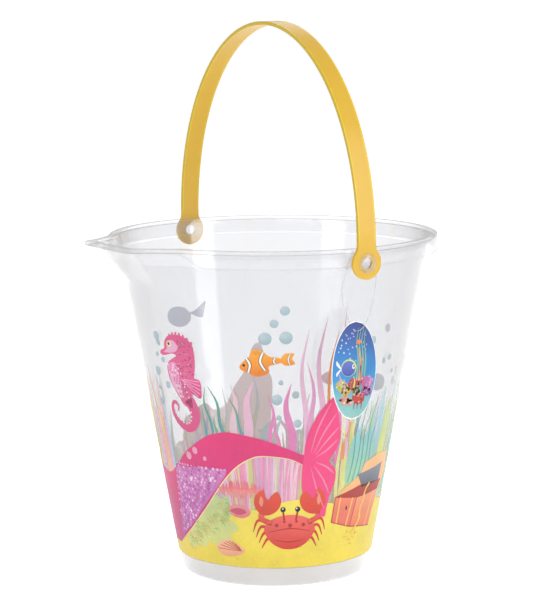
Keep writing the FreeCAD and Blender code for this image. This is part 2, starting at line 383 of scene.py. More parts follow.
# ---- the pail ----
def pail_outline():
    """The pail's section, from the middle of its underside round the rim to its floor."""
    foot = [(56.2, 0), (57.6, 0.25), (58.6, 0.9), (59.3, 1.9), (59.75, 3.0)]
    foot += [(wall_radius(12.1) - 0.8, 12.1), (wall_radius(12.4) - 0.6, 12.4),
             (wall_radius(12.6), 12.6)]
    outside = [(wall_radius(z), z) for z in range(18, 187, 8)]
    outside += [(wall_radius(z), z) for z in (187, 190, 193, 196, 199, 202, 205, 208, 211, 213.4)]
    under = HEIGHT - FLANGE_THICKNESS
    skirt = RIM_RADIUS - SKIRT_THICKNESS
    rim = [(wall_radius(under) + 0.5, under), (101, under), (skirt, under), (skirt, 211),
           (skirt, SKIRT_BOTTOM + 0.3), (skirt + 0.3, SKIRT_BOTTOM), (RIM_RADIUS - 0.3, SKIRT_BOTTOM),
           (RIM_RADIUS, SKIRT_BOTTOM + 0.3), (RIM_RADIUS, 211), (RIM_RADIUS, HEIGHT - 0.9),
           (RIM_RADIUS - 0.3, HEIGHT - 0.3), (RIM_RADIUS - 0.9, HEIGHT), (102, HEIGHT),
           (99.0, HEIGHT), (98.3, HEIGHT - 0.25), (97.9, HEIGHT - 0.9)]
    inside = [(wall_radius(z) - WALL, z) for z in (213.4, 211, 208, 205, 202, 199, 196, 193, 190, 187)]
    inside += [(wall_radius(z) - WALL, z) for z in range(180, 18, -8)]
    step = FOOT_HEIGHT + WALL
    inside += [(wall_radius(step + 1) - WALL, step + 1), (wall_radius(step) - WALL - 0.8, step)]
    inside += [(58.7, 5.0), (58.0, 3.2), (56.9, 2.2), (55.4, FLOOR), (30, FLOOR)]
    return foot + outside + rim + inside


def spout_radius(turn, height, thickness):
    """How far out the spout's wall is, turn degrees from the middle of the spout."""
    share = (height - SPOUT_BOTTOM) / (HEIGHT - SPOUT_BOTTOM)
    front = between(*SPOUT_FRONT, share) - thickness
    front_half = between(*SPOUT_FRONT_HALF, share) - 0.8 * thickness
    root = between(*SPOUT_ROOT, share) - thickness
    root_half = between(*SPOUT_ROOT_HALF, share) - thickness
    along = math.cos(math.radians(turn))
    across = math.sin(math.radians(turn))
    if across * root > along * root_half:
        return 0.0
    normal_u = root_half - front_half
    normal_v = front - root
    flank = (normal_u * front + normal_v * front_half) / (normal_u * along + normal_v * across)
    return soft_min(front / along, flank, SPOUT_ROUNDING)


def rim_edge(turn):
    """The rim's outer edge: a circle that sweeps out along the spout's flanks to its lip."""
    share = min(1.0, max(0.0, (LIP_START - turn) / LIP_TURN))
    sweep = RIM_RADIUS + LIP_REACH * (0.8 * share ** 1.7 + 0.2 * share ** 6)
    return soft_min(sweep, LIP_FRONT / math.cos(math.radians(turn)), 1.5)


def pull_spout(piece):
    """Moves the pail's points out into the spout and ends the skirt on a slant beside it."""
    for point in piece.data.vertices:
        x, y, z = (value / MM for value in point.co)
        turn = abs(math.degrees(math.atan2(y, -x)))
        if turn > 60 or z < SPOUT_BOTTOM - 0.1:
            continue
        radius = math.hypot(x, y)
        outer = wall_radius(z)
        inner = outer - WALL
        new_outer = outer
        new_inner = inner
        if turn < 55 and z > SPOUT_BOTTOM + 0.1:
            new_outer = soft_max(outer, spout_radius(turn, z, 0), SPOUT_BLEND)
            new_inner = soft_max(inner, spout_radius(turn, z, WALL + SPOUT_THICKENING), SPOUT_BLEND)
        edge = rim_edge(turn)
        if radius <= inner + 0.01:
            moved = radius - inner + new_inner
        elif radius <= outer:
            moved = between(new_inner, new_outer, (radius - inner) / WALL)
        else:
            moved = between(new_outer, edge, (radius - outer) / (RIM_RADIUS - outer))
        if radius > outer + 1 and z < HEIGHT - FLANGE_THICKNESS:
            lift = eased((36 - turn) / 12)
            z = between(z, HEIGHT - FLANGE_THICKNESS, lift)
        point.co = (x / radius * moved * MM, y / radius * moved * MM, z * MM)


def make_stud(side):
    """The rounded head and neck that the handle's eye snaps over."""
    bpy.ops.object.select_all(action="DESELECT")
    outline = [(0.6, 110.9), (3.6, 110.85), (5.0, 110.5), (5.8, 109.9), (6.0, 109.3), (5.8, 109.0),
               (3.5, 109.0), (3.5, 98.2), (0.6, 98.2)]
    stud = lathe([(radius, reach) for radius, reach in reversed(outline)], 48)
    for point in stud.data.vertices:
        x, y, reach = point.co
        point.co = (x, side * reach, STUD_HEIGHT * MM + y)
    edit(stud)
    bpy.ops.mesh.normals_make_consistent(inside=False)
    leave()
    return stud


def make_pail(material):
    pail = lathe(pail_outline(), 360)
    pull_spout(pail)
    settle(pail, "clear_pail", "bucket", [material], "bucket_shell")
    for side, name in ((-1, "near_stud"), (1, "far_stud")):
        settle(make_stud(side), name, "bucket", [material], "bucket_shell")


# ---- flat drawing ----
def smooth(points, closed=True, steps=6):
    """A smooth line through the points."""
    count = len(points)
    line = []
    for index in range(count if closed else count - 1):
        def pick(place):
            return points[place % count] if closed else points[min(max(place, 0), count - 1)]
        before, start, end, after = (pick(index + shift) for shift in (-1, 0, 1, 2))
        for step in range(steps):
            share = step / steps
            line.append(tuple(
                0.5 * (2 * b + (c - a) * share + (2 * a - 5 * b + 4 * c - d) * share ** 2
                       + (3 * b - a - 3 * c + d) * share ** 3)
                for a, b, c, d in zip(before, start, end, after)))
    if not closed:
        line.append(tuple(points[-1]))
    return line


def flat(points):
    """Points of (degrees round, height) on the flat drawing."""
    return [(turn * DEGREE, height) for turn, height in points]


def blob(points):
    return smooth(flat(points))


def band(points, widths, steps=6):
    """Outline of a band along a line of (degrees round, height), with its widths spread along it."""
    line = smooth(flat(points), closed=False, steps=steps)
    left = []
    right = []
    for index, (x, y) in enumerate(line):
        before = line[max(index - 1, 0)]
        after = line[min(index + 1, len(line) - 1)]
        across = Vector((before[1] - after[1], after[0] - before[0]))
        across = across.normalized() if across.length else Vector((1, 0))
        place = index / (len(line) - 1) * (len(widths) - 1)
        start = min(int(place), len(widths) - 2)
        half = between(widths[start], widths[start + 1], place - start) / 2
        left.append((x + across.x * half, y + across.y * half))
        right.append((x - across.x * half, y - across.y * half))
    return left + right[::-1]


def oval(turn, height, wide, tall=None, lean=0.0, points=20):
    """Outline of an ellipse given by its half width and half height in millimetres."""
    tall = tall or wide
    lean = math.radians(lean)
    line = []
    for step in range(points):
        angle = 2 * math.pi * step / points
        across = wide * math.cos(angle)
        up = tall * math.sin(angle)
        line.append((turn * DEGREE + across * math.cos(lean) - up * math.sin(lean),
                     height + across * math.sin(lean) + up * math.cos(lean)))
    return line


class Drawing:
    """Shapes of ink in layers, each with its colour at its bottom and at its top."""

    def __init__(self):
        self.layers = {}

    def add(self, layer, outline, low, high=None):
        self.layers.setdefault(layer, []).append((outline, low, high or low))

    def blob(self, layer, points, *shades):
        self.add(layer, blob(points), *shades)

    def sharp(self, layer, points, *shades):
        self.add(layer, flat(points), *shades)

    def sheet(self, layer, name):
        """One flat closed mesh of a layer's shapes, in millimetres, with their colours on it."""
        points = []
        faces = []
        colours = []
        for outline, low, high in self.layers[layer]:
            low_cut = math.ceil(min(x for x, _ in outline) / STRIP)
            high_cut = math.floor(max(x for x, _ in outline) / STRIP)
            filled = fill([outline], [step * STRIP for step in range(low_cut, high_cut + 1)])
            first = len(points)
            bottom = min(y for _, y in outline)
            tall = max(max(y for _, y in outline) - bottom, 0.001)
            filled.verts.index_update()
            for corner in filled.verts:
                points.append(corner.co[:])
                colours.append(blended(low, high, (corner.co.y - bottom) / tall))
            faces += [[first + corner.index for corner in face.verts] for face in filled.faces]
            filled.free()
        piece = object_from(name, points, faces)
        ink = piece.data.color_attributes.new("ink", "FLOAT_COLOR", "POINT")
        for place, colour in zip(ink.data, colours):
            place.color = colour
        modify(piece, "SOLIDIFY", thickness=INK, offset=-1)
        return piece


def fill(rings, cuts):
    """Flat faces between an outline and its holes, facing up, cut by upright lines."""
    sheet = bmesh.new()
    corners = [sheet.verts.new((x, y, 0)) for line in rings for x, y in line]
    loops = [[Vector((x, y, 0)) for x, y in line] for line in rings]
    for triple in tessellate_polygon(loops):
        sheet.faces.new([corners[index] for index in triple])
    for cut in cuts:
        parts = sheet.verts[:] + sheet.edges[:] + sheet.faces[:]
        bmesh.ops.bisect_plane(sheet, geom=parts, plane_co=(cut, 0, 0), plane_no=(1, 0, 0))
    for face in sheet.faces:
        face.normal_update()
        if face.normal.z < 0:
            face.normal_flip()
    return sheet


def wrap(piece, layer):
    """Takes a flat sheet of ink round the pail's wall, a layer's distance off it."""
    for point in piece.data.vertices:
        x, height, out = point.co
        angle = math.radians(x / DEGREE + LABEL_TURN)
        radius = wall_radius(height) + FIRST_LAYER + LAYER * layer + out
        point.co = (radius * math.sin(angle) * MM, -radius * math.cos(angle) * MM, height * MM)


# ---- the printed sea floor ----
SAND = tone(235, 212, 72)
SAND_TOP = tone(238, 220, 96)
PINK = tone(228, 52, 120)
DEEP_PINK = tone(196, 48, 118)
LINE = tone(243, 225, 170)


def strand(art, layer, root, tip, width, sway, low, high=None):
    """A weed that sways up from its root to a pointed tip."""
    points = []
    for step in range(9):
        share = step / 8
        swing = sway * math.sin(2 * math.pi * share * 1.15) * (0.4 + 0.6 * share)
        points.append((between(root[0], tip[0], share) + swing, between(root[1], tip[1], share)))
    art.add(layer, band(points, [width, width * 1.1, width * 0.9, width * 0.55, 0.15]), low, high)


def bubble(art, turn, height, radius):
    art.add(1, oval(turn, height, radius, points=18), tone(150, 180, 190, 0.72),
            tone(168, 196, 204, 0.62))
    if radius > 2.2:
        art.add(2, oval(turn - radius * 0.2, height + radius * 0.25, radius * 0.5, points=12),
                tone(196, 214, 220, 0.45))


def draw_sand(art):
    top = []
    for step in range(181):
        turn = -180 + 2 * step
        wave = 3.5 * math.sin(math.radians(3 * turn + 40)) + 2 * math.sin(math.radians(8 * turn))
        top.append((turn, 53 + wave))
    bottom = [(180 - 6 * step, FOOT_HEIGHT + 0.6) for step in range(61)]
    art.sharp(3, top + bottom, SAND, SAND_TOP)
    rng = random.Random(4)
    for _ in range(150):
        turn = rng.uniform(-179, 179)
        height = rng.uniform(16, 46)
        shade = rng.choice((tone(222, 190, 52), tone(246, 232, 130), tone(214, 178, 60)))
        art.add(4, oval(turn, height, rng.uniform(0.5, 1.6), 0.3, points=8), shade)


def draw_streaks(art):
    """Thin washes of colour that stand behind the weeds."""
    rng = random.Random(11)
    washes = [tone(238, 144, 186, 0.75), tone(240, 164, 196, 0.7), tone(224, 220, 140, 0.6),
              tone(220, 178, 214, 0.7), tone(244, 212, 224, 0.7), tone(210, 218, 160, 0.55)]
    arch = [(-34, 46), (-33, 60), (-27, 69), (-20, 78), (-13, 84), (-5, 87), (7, 85), (15, 80),
            (17, 60), (17, 46)]
    art.sharp(0, arch, tone(226, 214, 150, 0.95), tone(240, 196, 212, 0.95))
    for step in range(40):
        turn = -31 + step * 1.22
        top = 88 - 0.03 * (turn + 5) ** 2
        lean = (turn + 6) * 0.12 + rng.uniform(-0.6, 0.6)
        width = rng.uniform(2.0, 4.2)
        art.add(1, band([(turn, 46), (turn + lean * 0.4, 66), (turn + lean, top)],
                        [width, width * 1.2, width * 0.7]), rng.choice(washes))
    cool = [tone(150, 208, 212, 0.72), tone(170, 214, 196, 0.66), tone(206, 218, 120, 0.62),
            tone(186, 216, 230, 0.6), tone(228, 226, 140, 0.6)]
    for step in range(34):
        turn = 33 + step * 1.45
        top = rng.uniform(96, 128)
        width = rng.uniform(1.8, 4.4)
        sway = rng.uniform(-2, 2)
        art.add(0, band([(turn, 50), (turn + sway, 78), (turn - sway * 0.6, top)],
                        [width, width * 1.2, 0.4]), rng.choice(cool))
    for step in range(64):
        turn = 88 + step * 3.0
        top = rng.uniform(66, 96)
        width = rng.uniform(2.4, 5.0)
        sway = rng.uniform(-3, 3)
        art.add(0, band([(turn, 46), (turn + sway, 70), (turn - sway, top)], [width, width * 1.3, 0.4]),
                rng.choice(washes + cool))
    warm = [tone(246, 216, 120, 0.7), tone(244, 192, 140, 0.65), tone(178, 214, 232, 0.7),
            tone(240, 172, 200, 0.7)]
    for step in range(18):
        turn = -98 + step * 2.3
        top = rng.uniform(100, 138)
        width = rng.uniform(2.0, 4.4)
        sway = rng.uniform(-2, 2)
        art.add(0, band([(turn, 64), (turn + sway, 86), (turn - sway, top)], [width, width * 1.2, 0.4]),
                rng.choice(warm))


def draw_weeds(art):
    mauve = tone(232, 190, 214, 0.85)
    pink = tone(224, 132, 184, 0.85)
    strands = [((14, 84), (12.6, 168), 3.4, 1.9, mauve), ((22, 84), (19.5, 175), 4.2, 2.2, mauve),
               ((17, 84), (15.2, 147), 3.6, -1.8, tone(226, 160, 200, 0.85)),
               ((36, 84), (27.9, 182), 2.6, 1.5, mauve), ((8, 86), (5.9, 134), 5.2, 1.8, pink),
               ((-1, 90), (-1.6, 127), 2.6, -1.5, pink), ((2, 88), (0.4, 113), 2.2, 1.0, pink),
               ((-13, 92), (-9.5, 136), 6.0, 1.4, tone(228, 182, 206, 0.75)),
               ((-18, 96), (-17.5, 133), 5.0, -1.2, tone(226, 196, 206, 0.6)),
               ((30, 80), (31.5, 148), 2.4, 1.6, tone(222, 120, 178, 0.8))]
    for root, tip, width, sway, shade in strands:
        strand(art, 1, root, tip, width, sway, shade)
    orange = tone(230, 150, 84, 0.85)
    strand(art, 1, (23, 92), (25.6, 166), 2.2, 1.2, orange)
    strand(art, 1, (34, 82), (36.5, 110), 3.2, -0.8, orange)
    strand(art, 1, (27, 92), (27.5, 140), 2.4, -1.2, tone(236, 170, 96, 0.8))
    teal = tone(92, 160, 176, 0.9)
    green = tone(92, 160, 116, 0.9)
    strand(art, 2, (-29, 97), (-31.5, 130), 2.0, 1.2, teal, green)
    strand(art, 2, (-22.5, 98), (-28.2, 131), 2.4, -1.3, teal, green)
    strand(art, 2, (-13.5, 98), (-19.5, 125), 1.7, -0.9, teal, green)
    strand(art, 2, (-27, 98), (-27.5, 112), 1.6, 0.4, tone(110, 175, 120, 0.9))
    for turn, lean, top in ((41, 2.5, 118), (44, 3.5, 126), (47, 2.0, 114), (50, 2.5, 121),
                            (53, 1.5, 106)):
        strand(art, 2, (turn - 2, 66), (turn + lean, top), 1.1, 1.3, tone(92, 172, 182, 0.9),
               tone(96, 150, 110, 0.85))
    art.blob(1, [(38, 64), (44, 62), (52, 74), (55, 90), (50, 99), (45, 92), (40, 96), (37, 80)],
             tone(176, 214, 150, 0.7), tone(136, 204, 214, 0.85))
    art.blob(1, [(59, 72), (64, 70), (67, 92), (66, 116), (62.5, 108), (60, 92)],
             tone(226, 222, 96, 0.8), tone(196, 220, 160, 0.6))
    rng = random.Random(23)
    shades = (mauve, pink, orange, teal, green, tone(240, 200, 110, 0.85))
    for step in range(18):
        turn = 92 + step * 14.5 + rng.uniform(-3, 3)
        turn = turn - 360 if turn > 180 else turn
        if -150 < turn < -62:
            continue
        strand(art, rng.choice((1, 2)), (turn, 50), (turn + rng.uniform(-4, 4), rng.uniform(84, 118)),
               rng.uniform(2.2, 4.2), rng.uniform(-2.4, 2.4), rng.choice(shades))


def draw_bubbles(art):
    near = [(4.4, 180, 2.9), (0.3, 172, 2.6), (-3.3, 162.5, 4.0), (4.9, 163, 4.0), (1.3, 123.6, 3.5),
            (9.3, 126.5, 2.4), (2.2, 112, 1.7), (3, 134.5, 1.6), (43.7, 157, 2.8), (45.3, 149, 1.6),
            (45, 137, 1.8), (43, 127, 1.6), (44, 120, 2.0), (-55, 159, 3.0), (-54.4, 155, 2.2),
            (-56.7, 147, 1.6), (-52.8, 144, 1.9), (-58.5, 136, 3.0), (-52.3, 128, 2.4),
            (-59.5, 125, 1.6), (-60, 116, 2.6), (57, 144, 2.0), (61, 134, 1.5), (10.5, 108, 2.6)]
    for turn, height, radius in near:
        bubble(art, turn, height, radius)
    rng = random.Random(31)
    for _ in range(14):
        turn = rng.uniform(84, 150)
        bubble(art, turn, rng.uniform(108, 150), rng.uniform(1.4, 3.2))


def draw_sweep(art):
    """A long pink fish that rises from the left, arches over the middle and ends in its tail."""
    upper = [(15, 86.5), (12, 88.2), (4, 93), (-6, 98), (-20, 101.8), (-29, 100), (-36, 95.5),
             (-47, 85.5), (-57, 74), (-66, 68), (-78, 70), (-92, 76), (-106, 77), (-120, 68),
             (-131, 52)]
    lower = [(-129, 40), (-118, 28), (-104, 21), (-88, 19), (-76, 21), (-67, 22), (-52, 34), (-39, 49),
             (-31, 61), (-25, 70.5), (-19, 78.5), (-13, 84), (-6, 87), (7, 85), (15, 79.5)]
    art.blob(4, upper + lower, DEEP_PINK, PINK)
    art.add(5, band(lower[5:15], [0.3, 0.8, 0.8, 0.3]), LINE)
    scales = [(-57, 72.5), (-46, 75.5), (-34, 77), (-24, 76.5), (-28, 67.5), (-34, 58.5), (-41, 49),
              (-50, 38), (-60, 29.5), (-64, 26), (-62, 38), (-59, 52)]
    art.blob(5, scales, tone(186, 104, 176), tone(206, 124, 184))
    rng = random.Random(8)
    for row in range(26):
        height = 28 + row * 1.95
        left = between(-63, -57, (height - 28) / 46)
        right = between(-60, -24, ((height - 28) / 49) ** 0.85)
        turn = left + (1.1 if row % 2 else 0)
        while turn < right:
            shade = rng.choice((tone(226, 160, 210), tone(168, 84, 160), tone(214, 140, 202),
                                tone(196, 96, 168), tone(238, 196, 228)))
            art.add(6, oval(turn, height, rng.uniform(0.8, 1.3), rng.uniform(0.6, 1.1),
                            rng.uniform(-30, 30), points=8), shade)
            turn += rng.uniform(1.9, 2.7)
    for turn, height, radius in ((-45, 83.5, 2.6), (-40.5, 87.5, 2.4), (-35, 83, 1.5)):
        art.add(6, oval(turn, height, radius), tone(244, 168, 200, 0.75))
    for turn, height in ((-46, 68), (-50, 46), (-33, 70)):
        for lean in (0, 60, 120):
            art.add(7, oval(turn, height, 2.2, 0.22, lean, points=8), tone(252, 244, 250))
    art.add(5, oval(-119, 55, 3.4), tone(250, 244, 240))
    art.add(6, oval(-119.6, 55, 1.7), tone(52, 34, 60))
    art.add(5, band([(-129, 40), (-123, 38), (-117, 41)], [0.3, 0.9, 0.3]), tone(150, 30, 90))
    art.add(5, band([(-108, 66), (-104, 48), (-108, 32)], [0.4, 1.4, 0.4]), tone(160, 40, 104))
    art.blob(5, [(-100, 52), (-88, 58), (-80, 52), (-84, 42), (-94, 42)], tone(236, 110, 160))


def draw_tail(art):
    """The two lobes that end the pink fish, ribbed with paler lines."""
    lobes = [(14, 88), (14.6, 96), (17, 106.5), (21, 116), (26.4, 123.4), (28.6, 117), (30.4, 107),
             (31.6, 98), (30.2, 89.5), (27, 82), (30.6, 76), (31, 68), (28.6, 59), (27.6, 52),
             (26.6, 45.5), (21.5, 48.5), (16.6, 54), (14, 62), (13.2, 71), (13.4, 80)]
    art.blob(6, lobes, tone(236, 74, 132), tone(240, 66, 128))
    ribs = [((17, 88), (20, 104), (25.4, 120)), ((18.5, 88), (23, 101), (28.6, 113)),
            ((19.5, 87), (25, 96), (30.6, 104)), ((20, 85.5), (25.5, 90), (30.4, 96)),
            ((20, 82), (25, 79), (29.8, 74)), ((19, 80), (24.5, 70), (28, 61)),
            ((17.5, 79), (21, 65), (26, 51))]
    for rib in ribs:
        art.add(7, band(rib, [0.2, 0.9, 1.3, 0.4]), tone(250, 138, 172, 0.8))


def draw_seahorse(art):
    body = [(-53.9, 148), (-52.8, 150.6), (-50.6, 151.8), (-49.9, 156), (-47.2, 160.2), (-42.5, 162),
            (-37.6, 160.6), (-34.5, 156.5), (-33.8, 150), (-34.2, 143), (-35.2, 136), (-36.4, 129),
            (-37.4, 123), (-37.4, 116), (-42.5, 116), (-45.4, 121), (-48.2, 127), (-50.2, 133),
            (-50.6, 139), (-49, 143.5), (-46.2, 146), (-43.8, 148.2), (-46, 149.2), (-48.7, 148.2),
            (-51.5, 147.2)]
    rose = tone(220, 90, 142)
    art.blob(4, body, tone(228, 104, 154), tone(220, 82, 134))
    tail = [(-40, 121), (-37.4, 113), (-38.6, 105.2), (-43, 101.8), (-48, 104.6), (-50.9, 110),
            (-51, 115), (-49, 117.6), (-46.9, 115.4), (-47.6, 112)]
    art.add(4, band(tail, [9, 8.4, 7, 5.6, 4.4, 3.6, 3, 2.4, 1.8, 1]), tone(218, 78, 132), rose)
    line = smooth(flat(tail), closed=False, steps=2)
    for index in range(2, len(line) - 4):
        before, (x, y), after = line[index - 1:index + 2]
        across = Vector((before[1] - after[1], after[0] - before[0])).normalized()
        reach = between(3.4, 1.2, index / len(line))
        art.add(6, oval((x - across.x * reach) / DEGREE, y - across.y * reach, 0.6, points=8),
                tone(255, 240, 246))
    art.blob(5, [(-50, 139), (-48, 143), (-44.6, 143), (-43.6, 136), (-43, 128), (-43.6, 121),
                 (-46, 123.5), (-48.6, 129)], tone(236, 178, 206), tone(234, 160, 198))
    art.blob(5, [(-51, 149.6), (-48.8, 152), (-48.4, 156), (-45, 158), (-42, 154.6), (-43.5, 151),
                 (-47, 149.6)], tone(232, 170, 200))
    rng = random.Random(5)
    for _ in range(90):
        share = rng.random()
        turn = between(-40.5, -39.5, share) + rng.uniform(-3.6, 4.2)
        shade = rng.choice((tone(170, 60, 106, 0.7), tone(188, 70, 118, 0.7), tone(236, 170, 196, 0.7)))
        art.add(5, oval(turn, between(120, 158, share), rng.uniform(0.4, 0.9), 0.4, 20, points=8),
                shade)
    rng = random.Random(5)
    for row in range(13):
        height = 122 + row * 1.65
        left = between(-45.4, -50, (height - 122) / 18)
        for column in range(4):
            turn = left + 0.8 + column * 1.7 + (0.8 if row % 2 else 0)
            art.sharp(6, [(turn - 0.42, height), (turn, height + 0.8), (turn + 0.42, height),
                          (turn, height - 0.8)], rng.choice((rose, tone(252, 226, 238))))
    art.add(6, oval(-46.9, 155.4, 1.9), tone(236, 226, 176))
    art.add(7, oval(-47.1, 155.4, 1.0), tone(58, 40, 36))
    fin = [(-44, 134.5), (-38, 134.9), (-32.9, 134), (-32.2, 128), (-33.2, 122.2), (-37.5, 125),
           (-41.5, 129)]
    art.blob(5, fin, tone(214, 74, 136), tone(232, 96, 154))
    for tip in ((-33.2, 133), (-32.6, 130.4), (-32.6, 127.6), (-33.1, 125), (-34.3, 123.4)):
        art.add(6, band([(-43, 133.6), tip], [0.25, 0.6]), tone(248, 176, 206))
    for step in range(7):
        turn = between(-46, -34.6, step / 6)
        height = 162.6 - 0.095 * (turn + 42) ** 2
        art.add(5, oval(turn, height, 0.8, 1.2, points=8), rose)


def draw_banded_fish(art):
    body = [(-14, 144.4), (-12.2, 148.2), (-9.8, 151), (-8.6, 155.2), (-4.8, 155), (-1.8, 151.4),
            (1, 150.8), (3.3, 149.6), (3.2, 147.4), (0.6, 146.4), (-2, 144.8), (-1.8, 141.4),
            (-4.2, 139.2), (-7.6, 138.6), (-10.2, 140.6), (-12.6, 142)]
    orange = tone(243, 150, 38)
    art.blob(5, body, tone(238, 130, 34), tone(246, 170, 52))
    tail = [(2.8, 149.4), (4.4, 152.8), (8.2, 153), (7.4, 149.8), (8.6, 146.4), (5.2, 145.4),
            (3, 147.4)]
    art.blob(5, tail, orange, tone(246, 170, 52))
    bands = [((-11, 150.2), (-9.6, 146), (-10.4, 141)), ((-4.2, 154), (-5.4, 148), (-3.4, 142.4)),
             ((0.7, 150.8), (0, 148.4), (0.9, 146.2)), ((6.6, 152.6), (5.8, 149.4), (6.6, 145.9))]
    for points, width in zip(bands, (2.2, 2.2, 1.5, 1.3)):
        art.add(6, band(points, [width * 0.8, width, width * 0.8]), tone(48, 40, 44))
        art.add(7, band(points, [width * 0.5, width * 0.64, width * 0.5]), tone(248, 246, 240))
    art.add(6, oval(-12.1, 145.6, 0.85), tone(38, 32, 36))
    for points in (((-8.2, 154.6), (-6.8, 152.4)), ((-6.8, 155), (-5.6, 152.8)),
                   ((-6.4, 140), (-5.2, 142))):
        art.add(6, band(points, [0.2, 0.5]), tone(186, 84, 20))


def draw_crab(art):
    """A plain red crab with its claws raised."""
    def add(layer, outline, *shades):
        spread = [((8 + (x / DEGREE - 8) * 1.18) * DEGREE, height) for x, height in outline]
        art.add(layer, spread, *shades)

    red = tone(214, 62, 44)
    dark = tone(176, 44, 40)
    pale = tone(238, 108, 98)
    for side in (-1, 1):
        for step in range(4):
            reach = 15 - step * 1.2
            points = [(8 + side * 8, 41 - step * 2.6), (8 + side * (reach - 1), 45 - step * 4.2),
                      (8 + side * (reach + 1.6), 37 - step * 3.6)]
            add(5, band(points, [2.2, 1.9, 0.3]), dark, red)
        arm = [(8 + side * 8, 43), (8 + side * 12.5, 46), (8 + side * 12, 51)]
        add(6, band(arm, [3.2, 3.8, 4.4]), red, pale)
        claw = [(12.6, 49), (15.4, 54), (15, 61), (11.6, 65), (10.6, 60.5), (9.4, 58.6), (8, 61.4),
                (5.6, 63.6), (4, 58), (5.4, 52), (9, 48.6)]
        add(7, blob([(8 + side * across, height) for across, height in claw]), red, tone(226, 84, 56))
        shine = ((12.4, 54), (13.4, 57), (12.6, 61), (11.6, 58))
        add(8, blob([(8 + side * across, height) for across, height in shine]),
            tone(244, 150, 128, 0.8))
        add(6, band([(8 + side * 2.6, 45), (8 + side * 3.2, 51)], [1.4, 1.0]), dark)
        add(7, oval(8 + side * 3.2, 52, 1.7), tone(40, 30, 36))
        add(8, oval(8 + side * 3.0 - 0.3, 52.6, 0.5, points=8), tone(255, 255, 255))
    shell = [(-3.6, 38), (-1.6, 44), (3, 47.4), (8, 48.4), (13, 47.4), (17.6, 44), (19.6, 38),
             (16.6, 30.4), (12, 26.4), (8, 25.6), (4, 26.4), (-0.6, 30.4)]
    add(6, blob(shell), tone(206, 56, 48), tone(236, 104, 96))
    for line in (((-1.6, 37), (8, 39.4), (17.6, 37)), ((0.6, 32), (8, 30.4), (15.4, 32))):
        add(7, band(line, [0.2, 0.8, 0.2]), dark)
    for turn, height, radius in ((2, 41.6, 1.2), (5.4, 44, 0.9), (8, 41.4, 1.4), (10.8, 44, 0.9),
                                 (14, 41.6, 1.2)):
        add(7, oval(turn, height, radius), dark)


def draw_sea_bed(art):
    """Shells, coral and moss on the sand."""
    moss = [(-58, 26), (-50, 36), (-42, 45), (-34, 56), (-30.5, 60), (-28, 57.6), (-25.4, 59.6),
            (-23, 56), (-25.2, 52), (-22.6, 48), (-24.4, 44), (-20.4, 41), (-21, 36), (-24.6, 35.6),
            (-24.4, 31.4), (-29, 30.4), (-32.6, 26.4), (-38, 27.6), (-43, 22.8), (-47, 24), (-52, 21)]
    art.blob(4, moss, tone(218, 218, 128), tone(190, 210, 150))
    rng = random.Random(17)
    for _ in range(150):
        share = rng.random()
        turn = between(-55, -24, share) + rng.uniform(-3, 3)
        height = between(27, 55, share) + rng.uniform(-8, 3)
        curl = [(turn, height), (turn + 0.8, height + 1.2), (turn + 1.9, height + 0.4),
                (turn + 2.2, height - 1)]
        art.add(5, band(curl, [0.3, 0.6, 0.3], steps=3),
                rng.choice((tone(160, 196, 100), tone(206, 206, 120), tone(226, 188, 120),
                            tone(150, 186, 120))))
    art.blob(5, [(-25.4, 50.4), (-22, 54), (-17, 54), (-12.4, 50.4), (-15, 46.6), (-20, 46.2)],
             tone(222, 120, 130), tone(236, 150, 150))
    art.blob(6, [(-23.6, 50.4), (-20, 52.4), (-16, 51.6), (-14.8, 49.6), (-19, 48)], tone(200, 84, 112))
    for step in range(24):
        turn = -28 + step * 0.95
        rise = 4.4 * math.sin(math.pi * (step + 0.5) / 24) + 1.2
        shift = rng.uniform(-1, 1)
        art.add(5, band([(turn, 63), (turn + shift, 65 + rise)], [1.6, 0.3]), tone(238, 128, 140),
                tone(240, 108, 130))
        art.add(5, band([(turn, 65), (turn - shift, 62 - rise * 0.6)], [1.4, 0.3]), tone(240, 150, 140))
    fan = [(-34, 24.6), (-31, 29.4), (-26, 31), (-21.4, 28.4), (-16.8, 24), (-21, 20.8), (-27, 19.6),
           (-32, 21)]
    art.blob(6, fan, tone(238, 168, 130), tone(246, 196, 160))
    for step in range(8):
        tip = (-33 + step * 1.8, 22 + 8 * math.sin(math.pi * (step + 1) / 10))
        art.add(7, band([(-18.6, 23.8), tip], [0.25, 0.6]), tone(206, 96, 76))
    for centre in (112, 158, -168):
        art.add(6, oval(centre, 30, 6, 4, 12), tone(240, 170, 130), tone(248, 206, 168))
        for step in range(5):
            art.add(7, band([(centre - 3, 30), (centre + 3.4, 27 + step * 1.6)], [0.3, 0.6]),
                    tone(206, 110, 90))
    for centre in (97, 136, 172, -160):
        for step in range(9):
            turn = centre + (step - 4) * 1.4
            art.add(5, band([(centre, 46), (turn, 60),
                             (turn + (step - 4) * 0.5, 78 - abs(step - 4) * 3)], [2.2, 1.8, 0.8]),
                    tone(238, 120, 130), tone(244, 160, 120))


